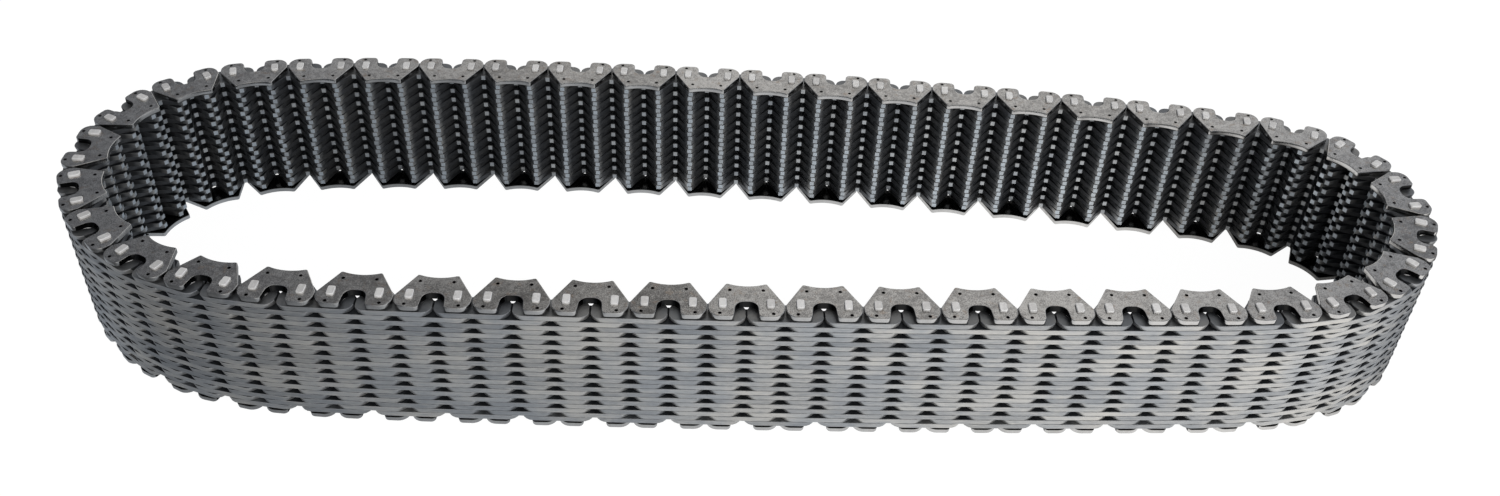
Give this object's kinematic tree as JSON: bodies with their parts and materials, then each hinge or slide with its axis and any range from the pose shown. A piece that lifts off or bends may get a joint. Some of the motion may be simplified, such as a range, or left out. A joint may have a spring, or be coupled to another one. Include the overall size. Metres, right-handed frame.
{
  "type": "silent chain",
  "caption": "Closed loop of inverted-tooth silent chain lying on its side, with stacked tooth plates on rocker pins, guide plates along both edges and teeth facing the inside of the loop",
  "frame": {"origin": "on the surface that the loop lies on, below the middle of its outline", "axes": "+X along the loop, +Y across it towards the back strand, +Z along the pins"},
  "size_m": [0.3704, 0.1112, 0.0415],
  "materials": {
    "guide_steel": "hardened steel link with outer guide plates, tumbled and lightly oiled",
    "inner_steel": "hardened steel inner tooth plates, dark from hardening",
    "strand_steel": "hardened steel tooth plates, guide plates and pins, tumbled and lightly oiled"
  },
  "bodies": {
    "inner_link_76": {"inner_link_76": "inner_steel"},
    "guide_link_77": {"guide_link_77": "guide_steel"},
    "inner_link_78": {"inner_link_78": "inner_steel"},
    "guide_link_79": {"guide_link_79": "guide_steel"},
    "inner_link_80": {"inner_link_80": "inner_steel"},
    "guide_link_81": {"guide_link_81": "guide_steel"},
    "inner_link_82": {"inner_link_82": "inner_steel"},
    "guide_link_83": {"guide_link_83": "guide_steel"},
    "inner_link_84": {"inner_link_84": "inner_steel"},
    "guide_link_85": {"guide_link_85": "guide_steel"},
    "inner_link_86": {"inner_link_86": "inner_steel"},
    "guide_link_01": {"guide_link_01": "guide_steel"},
    "inner_link_02": {"inner_link_02": "inner_steel"},
    "guide_link_03": {"guide_link_03": "guide_steel"},
    "inner_link_04": {"inner_link_04": "inner_steel"},
    "guide_link_05": {"guide_link_05": "guide_steel"},
    "inner_link_06": {"inner_link_06": "inner_steel"},
    "guide_link_07": {"guide_link_07": "guide_steel"},
    "link_pair_08": {"link_pair_08": "strand_steel"},
    "link_pair_10": {"link_pair_10": "strand_steel"},
    "link_pair_12": {"link_pair_12": "strand_steel"},
    "link_pair_14": {"link_pair_14": "strand_steel"},
    "link_pair_16": {"link_pair_16": "strand_steel"},
    "link_pair_18": {"link_pair_18": "strand_steel"},
    "link_pair_20": {"link_pair_20": "strand_steel"},
    "link_pair_22": {"link_pair_22": "strand_steel"},
    "link_pair_24": {"link_pair_24": "strand_steel"},
    "link_pair_26": {"link_pair_26": "strand_steel"},
    "link_pair_28": {"link_pair_28": "strand_steel"},
    "link_pair_30": {"link_pair_30": "strand_steel"},
    "link_pair_32": {"link_pair_32": "strand_steel"},
    "inner_link_34": {"inner_link_34": "inner_steel"},
    "guide_link_35": {"guide_link_35": "guide_steel"},
    "inner_link_36": {"inner_link_36": "inner_steel"},
    "guide_link_37": {"guide_link_37": "guide_steel"},
    "inner_link_38": {"inner_link_38": "inner_steel"},
    "guide_link_39": {"guide_link_39": "guide_steel"},
    "inner_link_40": {"inner_link_40": "inner_steel"},
    "guide_link_41": {"guide_link_41": "guide_steel"},
    "inner_link_42": {"inner_link_42": "inner_steel"},
    "guide_link_43": {"guide_link_43": "guide_steel"},
    "inner_link_44": {"inner_link_44": "inner_steel"},
    "guide_link_45": {"guide_link_45": "guide_steel"},
    "inner_link_46": {"inner_link_46": "inner_steel"},
    "guide_link_47": {"guide_link_47": "guide_steel"},
    "inner_link_48": {"inner_link_48": "inner_steel"},
    "guide_link_49": {"guide_link_49": "guide_steel"},
    "link_pair_50": {"link_pair_50": "strand_steel"},
    "link_pair_52": {"link_pair_52": "strand_steel"},
    "link_pair_54": {"link_pair_54": "strand_steel"},
    "link_pair_56": {"link_pair_56": "strand_steel"},
    "link_pair_58": {"link_pair_58": "strand_steel"},
    "link_pair_60": {"link_pair_60": "strand_steel"},
    "link_pair_62": {"link_pair_62": "strand_steel"},
    "link_pair_64": {"link_pair_64": "strand_steel"},
    "link_pair_66": {"link_pair_66": "strand_steel"},
    "link_pair_68": {"link_pair_68": "strand_steel"},
    "link_pair_70": {"link_pair_70": "strand_steel"},
    "link_pair_72": {"link_pair_72": "strand_steel"},
    "link_pair_74": {"link_pair_74": "strand_steel"}
  },
  "joints": [
    {"name": "loop_flex", "type": "hinge", "parent": "link_pair_62", "child": "link_pair_64", "pos_m": [-0.00604, -0.05106, 0.02075], "axis": [0, 0, -1], "range_deg": [-1.85, 6.74]},
    {"name": "pivot_66", "type": "hinge", "parent": "link_pair_64", "child": "link_pair_66", "pos_m": [-0.02509, -0.05091, 0.02075], "axis": [0, 0, -1], "range_deg": [-2.49, 9.08]},
    {"name": "pivot_68", "type": "hinge", "parent": "link_pair_66", "child": "link_pair_68", "pos_m": [-0.04414, -0.05067, 0.02075], "axis": [0, 0, -1], "range_deg": [-2.2, 8.02]},
    {"name": "pivot_70", "type": "hinge", "parent": "link_pair_68", "child": "link_pair_70", "pos_m": [-0.06319, -0.05033, 0.02075], "axis": [0, 0, -1], "range_deg": [-2.16, 7.87]},
    {"name": "pivot_72", "type": "hinge", "parent": "link_pair_70", "child": "link_pair_72", "pos_m": [-0.08223, -0.04988, 0.02075], "axis": [0, 0, -1], "range_deg": [-2.58, 9.39]},
    {"name": "pivot_74", "type": "hinge", "parent": "link_pair_72", "child": "link_pair_74", "pos_m": [-0.10127, -0.04923, 0.02075], "axis": [0, 0, -1], "range_deg": [-3.29, 11.99]},
    {"name": "pivot_76", "type": "hinge", "parent": "link_pair_74", "child": "inner_link_76", "pos_m": [-0.12027, -0.04782, 0.02075], "axis": [0, 0, -1], "range_deg": [-2.04, 7.42]},
    {"name": "pivot_77", "type": "hinge", "parent": "inner_link_76", "child": "guide_link_77", "pos_m": [-0.12967, -0.04633, 0.02075], "axis": [0, 0, -1], "range_deg": [-3.73, 1.02]},
    {"name": "pivot_78", "type": "hinge", "parent": "guide_link_77", "child": "inner_link_78", "pos_m": [-0.13889, -0.04393, 0.02075], "axis": [0, 0, -1], "range_deg": [-3.73, 1.02]},
    {"name": "pivot_79", "type": "hinge", "parent": "inner_link_78", "child": "guide_link_79", "pos_m": [-0.14776, -0.04045, 0.02075], "axis": [0, 0, -1], "range_deg": [-3.84, 1.06]},
    {"name": "pivot_80", "type": "hinge", "parent": "guide_link_79", "child": "inner_link_80", "pos_m": [-0.15607, -0.03579, 0.02075], "axis": [0, 0, -1], "range_deg": [-5.95, 1.63]},
    {"name": "pivot_81", "type": "hinge", "parent": "inner_link_80", "child": "guide_link_81", "pos_m": [-0.16358, -0.02994, 0.02075], "axis": [0, 0, -1], "range_deg": [-8.63, 2.37]},
    {"name": "pivot_82", "type": "hinge", "parent": "guide_link_81", "child": "inner_link_82", "pos_m": [-0.17005, -0.02295, 0.02075], "axis": [0, 0, -1], "range_deg": [-9.85, 2.7]},
    {"name": "pivot_83", "type": "hinge", "parent": "inner_link_82", "child": "guide_link_83", "pos_m": [-0.1752, -0.01494, 0.02075], "axis": [0, 0, -1], "range_deg": [-10, 2.75]},
    {"name": "pivot_84", "type": "hinge", "parent": "guide_link_83", "child": "inner_link_84", "pos_m": [-0.17875, -0.0061, 0.02075], "axis": [0, 0, -1], "range_deg": [-9.82, 2.7]},
    {"name": "pivot_85", "type": "hinge", "parent": "inner_link_84", "child": "guide_link_85", "pos_m": [-0.18046, 0.00327, 0.02075], "axis": [0, 0, -1], "range_deg": [-9.79, 2.69]},
    {"name": "pivot_86", "type": "hinge", "parent": "guide_link_85", "child": "inner_link_86", "pos_m": [-0.18013, 0.01279, 0.02075], "axis": [0, 0, -1], "range_deg": [-10.03, 2.75]},
    {"name": "pivot_01", "type": "hinge", "parent": "inner_link_86", "child": "guide_link_01", "pos_m": [-0.17767, 0.02199, 0.02075], "axis": [0, 0, -1], "range_deg": [-10.37, 2.85]},
    {"name": "pivot_02", "type": "hinge", "parent": "guide_link_01", "child": "inner_link_02", "pos_m": [-0.17308, 0.03034, 0.02075], "axis": [0, 0, -1], "range_deg": [-10.59, 2.91]},
    {"name": "pivot_03", "type": "hinge", "parent": "inner_link_02", "child": "guide_link_03", "pos_m": [-0.16659, 0.03731, 0.02075], "axis": [0, 0, -1], "range_deg": [-10.19, 2.8]},
    {"name": "pivot_04", "type": "hinge", "parent": "guide_link_03", "child": "inner_link_04", "pos_m": [-0.1586, 0.0425, 0.02075], "axis": [0, 0, -1], "range_deg": [-8.31, 2.28]},
    {"name": "pivot_05", "type": "hinge", "parent": "inner_link_04", "child": "guide_link_05", "pos_m": [-0.14971, 0.04591, 0.02075], "axis": [0, 0, -1], "range_deg": [-5.02, 1.38]},
    {"name": "pivot_06", "type": "hinge", "parent": "guide_link_05", "child": "inner_link_06", "pos_m": [-0.14041, 0.04798, 0.02075], "axis": [0, 0, -1], "range_deg": [-3.73, 1.02]},
    {"name": "pivot_07", "type": "hinge", "parent": "inner_link_06", "child": "guide_link_07", "pos_m": [-0.13097, 0.04922, 0.02075], "axis": [0, 0, -1], "range_deg": [-1.02, 3.73]},
    {"name": "pivot_08", "type": "hinge", "parent": "guide_link_07", "child": "link_pair_08", "pos_m": [-0.12147, 0.04999, 0.02075], "axis": [0, 0, -1], "range_deg": [-0.96, 3.51]},
    {"name": "pivot_10", "type": "hinge", "parent": "link_pair_08", "child": "link_pair_10", "pos_m": [-0.10244, 0.05081, 0.02075], "axis": [0, 0, -1], "range_deg": [-2.25, 8.19]},
    {"name": "pivot_12", "type": "hinge", "parent": "link_pair_10", "child": "link_pair_12", "pos_m": [-0.08339, 0.0511, 0.02075], "axis": [0, 0, -1], "range_deg": [-2.75, 10.01]},
    {"name": "pivot_14", "type": "hinge", "parent": "link_pair_12", "child": "link_pair_14", "pos_m": [-0.06434, 0.05104, 0.02075], "axis": [0, 0, -1], "range_deg": [-2.8, 10.19]},
    {"name": "pivot_16", "type": "hinge", "parent": "link_pair_14", "child": "link_pair_16", "pos_m": [-0.0453, 0.05069, 0.02075], "axis": [0, 0, -1], "range_deg": [-2.57, 9.36]},
    {"name": "pivot_18", "type": "hinge", "parent": "link_pair_16", "child": "link_pair_18", "pos_m": [-0.02626, 0.05006, 0.02075], "axis": [0, 0, -1], "range_deg": [-2.31, 8.39]},
    {"name": "pivot_20", "type": "hinge", "parent": "link_pair_18", "child": "link_pair_20", "pos_m": [-0.00723, 0.04917, 0.02075], "axis": [0, 0, -1], "range_deg": [-2.18, 7.93]},
    {"name": "pivot_62", "type": "hinge", "parent": "link_pair_62", "child": "link_pair_60", "pos_m": [0.01301, -0.05112, 0.02075], "axis": [0, 0, 1], "range_deg": [-2.86, 10.43]},
    {"name": "pivot_60", "type": "hinge", "parent": "link_pair_60", "child": "link_pair_58", "pos_m": [0.03206, -0.05109, 0.02075], "axis": [0, 0, 1], "range_deg": [-2.71, 9.89]},
    {"name": "pivot_58", "type": "hinge", "parent": "link_pair_58", "child": "link_pair_56", "pos_m": [0.05111, -0.05096, 0.02075], "axis": [0, 0, 1], "range_deg": [-2.45, 8.93]},
    {"name": "pivot_56", "type": "hinge", "parent": "link_pair_56", "child": "link_pair_54", "pos_m": [0.07016, -0.05073, 0.02075], "axis": [0, 0, 1], "range_deg": [-2.27, 8.27]},
    {"name": "pivot_54", "type": "hinge", "parent": "link_pair_54", "child": "link_pair_52", "pos_m": [0.0892, -0.05041, 0.02075], "axis": [0, 0, 1], "range_deg": [-2.31, 8.42]},
    {"name": "pivot_52", "type": "hinge", "parent": "link_pair_52", "child": "link_pair_50", "pos_m": [0.10825, -0.04995, 0.02075], "axis": [0, 0, 1], "range_deg": [-2.45, 8.92]},
    {"name": "pivot_50", "type": "hinge", "parent": "link_pair_50", "child": "guide_link_49", "pos_m": [0.12728, -0.0491, 0.02075], "axis": [0, 0, 1], "range_deg": [-1.53, 5.55]},
    {"name": "pivot_49", "type": "hinge", "parent": "guide_link_49", "child": "inner_link_48", "pos_m": [0.13675, -0.04814, 0.02075], "axis": [0, 0, 1], "range_deg": [-3.73, 1.02]},
    {"name": "pivot_48", "type": "hinge", "parent": "inner_link_48", "child": "guide_link_47", "pos_m": [0.14609, -0.04624, 0.02075], "axis": [0, 0, 1], "range_deg": [-4.55, 1.25]},
    {"name": "pivot_47", "type": "hinge", "parent": "guide_link_47", "child": "inner_link_46", "pos_m": [0.15502, -0.04292, 0.02075], "axis": [0, 0, 1], "range_deg": [-7.59, 2.09]},
    {"name": "pivot_46", "type": "hinge", "parent": "inner_link_46", "child": "guide_link_45", "pos_m": [0.16318, -0.03802, 0.02075], "axis": [0, 0, 1], "range_deg": [-9.4, 2.58]},
    {"name": "pivot_45", "type": "hinge", "parent": "guide_link_45", "child": "inner_link_44", "pos_m": [0.1702, -0.03157, 0.02075], "axis": [0, 0, 1], "range_deg": [-10.59, 2.91]},
    {"name": "pivot_44", "type": "hinge", "parent": "inner_link_44", "child": "guide_link_43", "pos_m": [0.17566, -0.02378, 0.02075], "axis": [0, 0, 1], "range_deg": [-11.48, 3.15]},
    {"name": "pivot_43", "type": "hinge", "parent": "guide_link_43", "child": "inner_link_42", "pos_m": [0.17921, -0.01494, 0.02075], "axis": [0, 0, 1], "range_deg": [-11.99, 3.29]},
    {"name": "pivot_42", "type": "hinge", "parent": "inner_link_42", "child": "guide_link_41", "pos_m": [0.18052, -0.0055, 0.02075], "axis": [0, 0, 1], "range_deg": [-11.93, 3.27]},
    {"name": "pivot_41", "type": "hinge", "parent": "guide_link_41", "child": "inner_link_40", "pos_m": [0.17939, 0.00396, 0.02075], "axis": [0, 0, 1], "range_deg": [-11.47, 3.15]},
    {"name": "pivot_40", "type": "hinge", "parent": "inner_link_40", "child": "guide_link_39", "pos_m": [0.17576, 0.01276, 0.02075], "axis": [0, 0, 1], "range_deg": [-11.32, 3.11]},
    {"name": "pivot_39", "type": "hinge", "parent": "guide_link_39", "child": "inner_link_38", "pos_m": [0.16981, 0.0202, 0.02075], "axis": [0, 0, 1], "range_deg": [-11.65, 3.2]},
    {"name": "pivot_38", "type": "hinge", "parent": "inner_link_38", "child": "guide_link_37", "pos_m": [0.16205, 0.02573, 0.02075], "axis": [0, 0, 1], "range_deg": [-10.7, 2.94]},
    {"name": "pivot_37", "type": "hinge", "parent": "guide_link_37", "child": "inner_link_36", "pos_m": [0.15326, 0.02939, 0.02075], "axis": [0, 0, 1], "range_deg": [-7.79, 2.14]},
    {"name": "pivot_36", "type": "hinge", "parent": "inner_link_36", "child": "guide_link_35", "pos_m": [0.14406, 0.03187, 0.02075], "axis": [0, 0, 1], "range_deg": [-1.02, 3.73]},
    {"name": "pivot_35", "type": "hinge", "parent": "guide_link_35", "child": "inner_link_34", "pos_m": [0.13473, 0.03379, 0.02075], "axis": [0, 0, 1], "range_deg": [-1.02, 3.73]},
    {"name": "pivot_34", "type": "hinge", "parent": "inner_link_34", "child": "link_pair_32", "pos_m": [0.12535, 0.03543, 0.02075], "axis": [0, 0, 1], "range_deg": [-1.06, 3.84]},
    {"name": "pivot_32", "type": "hinge", "parent": "link_pair_32", "child": "link_pair_30", "pos_m": [0.10652, 0.03828, 0.02075], "axis": [0, 0, 1], "range_deg": [-1.49, 5.42]},
    {"name": "pivot_30", "type": "hinge", "parent": "link_pair_30", "child": "link_pair_28", "pos_m": [0.08763, 0.04077, 0.02075], "axis": [0, 0, 1], "range_deg": [-2.31, 8.4]},
    {"name": "pivot_28", "type": "hinge", "parent": "link_pair_28", "child": "link_pair_26", "pos_m": [0.06871, 0.04298, 0.02075], "axis": [0, 0, 1], "range_deg": [-2.72, 9.9]},
    {"name": "pivot_26", "type": "hinge", "parent": "link_pair_26", "child": "link_pair_24", "pos_m": [0.04976, 0.04492, 0.02075], "axis": [0, 0, 1], "range_deg": [-2.72, 9.89]},
    {"name": "pivot_24", "type": "hinge", "parent": "link_pair_24", "child": "link_pair_22", "pos_m": [0.03078, 0.0466, 0.02075], "axis": [0, 0, 1], "range_deg": [-2.48, 9.05]}
  ],
  "couplings": [
    {"joint": "pivot_66", "follows": "loop_flex", "ratio": 0.89757},
    {"joint": "pivot_68", "follows": "loop_flex", "ratio": 0.79332},
    {"joint": "pivot_70", "follows": "loop_flex", "ratio": 0.77861},
    {"joint": "pivot_72", "follows": "loop_flex", "ratio": 0.92834},
    {"joint": "pivot_74", "follows": "loop_flex", "ratio": 1.1855},
    {"joint": "pivot_76", "follows": "loop_flex", "ratio": 0.7335},
    {"joint": "pivot_77", "follows": "loop_flex", "ratio": -0.36868},
    {"joint": "pivot_78", "follows": "loop_flex", "ratio": -0.36868},
    {"joint": "pivot_79", "follows": "loop_flex", "ratio": -0.37985},
    {"joint": "pivot_80", "follows": "loop_flex", "ratio": -0.58812},
    {"joint": "pivot_81", "follows": "loop_flex", "ratio": -0.85337},
    {"joint": "pivot_82", "follows": "loop_flex", "ratio": -0.97396},
    {"joint": "pivot_83", "follows": "loop_flex", "ratio": -0.98918},
    {"joint": "pivot_84", "follows": "loop_flex", "ratio": -0.97119},
    {"joint": "pivot_85", "follows": "loop_flex", "ratio": -0.96848},
    {"joint": "pivot_86", "follows": "loop_flex", "ratio": -0.99148},
    {"joint": "pivot_01", "follows": "loop_flex", "ratio": -1.0257},
    {"joint": "pivot_02", "follows": "loop_flex", "ratio": -1.047},
    {"joint": "pivot_03", "follows": "loop_flex", "ratio": -1.0075},
    {"joint": "pivot_04", "follows": "loop_flex", "ratio": -0.82209},
    {"joint": "pivot_05", "follows": "loop_flex", "ratio": -0.49631},
    {"joint": "pivot_06", "follows": "loop_flex", "ratio": -0.36868},
    {"joint": "pivot_07", "follows": "loop_flex", "ratio": 0.36868},
    {"joint": "pivot_08", "follows": "loop_flex", "ratio": 0.34702},
    {"joint": "pivot_10", "follows": "loop_flex", "ratio": 0.80987},
    {"joint": "pivot_12", "follows": "loop_flex", "ratio": 0.99031},
    {"joint": "pivot_14", "follows": "loop_flex", "ratio": 1.0076},
    {"joint": "pivot_16", "follows": "loop_flex", "ratio": 0.92542},
    {"joint": "pivot_18", "follows": "loop_flex", "ratio": 0.83019},
    {"joint": "pivot_20", "follows": "loop_flex", "ratio": 0.78457},
    {"joint": "pivot_62", "follows": "loop_flex", "ratio": 1.0316},
    {"joint": "pivot_60", "follows": "loop_flex", "ratio": 0.97778},
    {"joint": "pivot_58", "follows": "loop_flex", "ratio": 0.88292},
    {"joint": "pivot_56", "follows": "loop_flex", "ratio": 0.81737},
    {"joint": "pivot_54", "follows": "loop_flex", "ratio": 0.8329},
    {"joint": "pivot_52", "follows": "loop_flex", "ratio": 0.88234},
    {"joint": "pivot_50", "follows": "loop_flex", "ratio": 0.54926},
    {"joint": "pivot_49", "follows": "loop_flex", "ratio": -0.36868},
    {"joint": "pivot_48", "follows": "loop_flex", "ratio": -0.45026},
    {"joint": "pivot_47", "follows": "loop_flex", "ratio": -0.75108},
    {"joint": "pivot_46", "follows": "loop_flex", "ratio": -0.92956},
    {"joint": "pivot_45", "follows": "loop_flex", "ratio": -1.0474},
    {"joint": "pivot_44", "follows": "loop_flex", "ratio": -1.1349},
    {"joint": "pivot_43", "follows": "loop_flex", "ratio": -1.1857},
    {"joint": "pivot_42", "follows": "loop_flex", "ratio": -1.1796},
    {"joint": "pivot_41", "follows": "loop_flex", "ratio": -1.1345},
    {"joint": "pivot_40", "follows": "loop_flex", "ratio": -1.1194},
    {"joint": "pivot_39", "follows": "loop_flex", "ratio": -1.1526},
    {"joint": "pivot_38", "follows": "loop_flex", "ratio": -1.0579},
    {"joint": "pivot_37", "follows": "loop_flex", "ratio": -0.7702},
    {"joint": "pivot_36", "follows": "loop_flex", "ratio": 0.36868},
    {"joint": "pivot_35", "follows": "loop_flex", "ratio": 0.36868},
    {"joint": "pivot_34", "follows": "loop_flex", "ratio": 0.37985},
    {"joint": "pivot_32", "follows": "loop_flex", "ratio": 0.53611},
    {"joint": "pivot_30", "follows": "loop_flex", "ratio": 0.83038},
    {"joint": "pivot_28", "follows": "loop_flex", "ratio": 0.97931},
    {"joint": "pivot_26", "follows": "loop_flex", "ratio": 0.97817},
    {"joint": "pivot_24", "follows": "loop_flex", "ratio": 0.89461}
  ]
}
